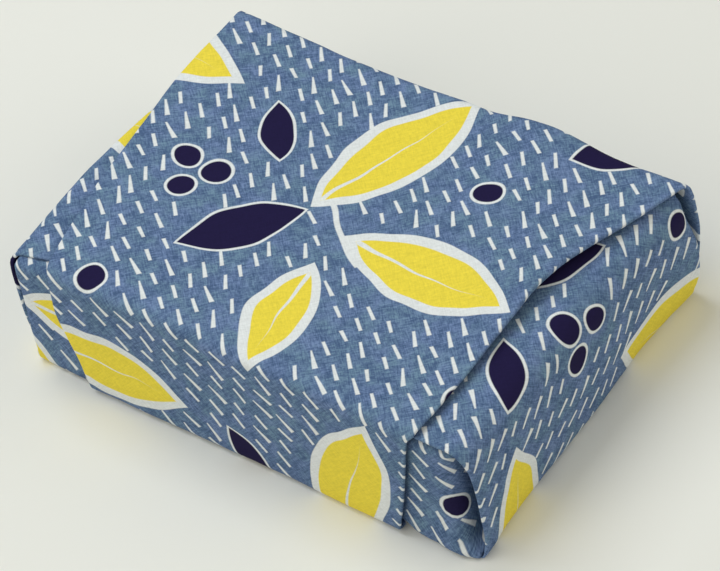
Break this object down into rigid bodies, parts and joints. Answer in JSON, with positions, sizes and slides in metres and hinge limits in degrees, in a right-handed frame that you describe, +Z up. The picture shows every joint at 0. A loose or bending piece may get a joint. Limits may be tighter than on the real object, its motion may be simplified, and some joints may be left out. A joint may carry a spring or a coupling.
{
  "type": "furoshiki wrap",
  "caption": "Square cotton wrapping cloth folded flat round a box-shaped parcel, with tucked flap edges and a soft pocket at one corner.",
  "frame": {"origin": "on the floor under the centre of the folded cloth's bounding box", "axes": "+X along the parcel, +Y from the front, where the closing flap comes down, to the back, +Z up"},
  "size_m": [0.1632, 0.12, 0.0492],
  "materials": {
    "cotton_print": "plain-woven cotton, matte, printed in dusty blue with white, yellow and navy"
  },
  "bodies": {
    "root": {"furoshiki_cloth": "cotton_print"}
  },
  "joints": []
}
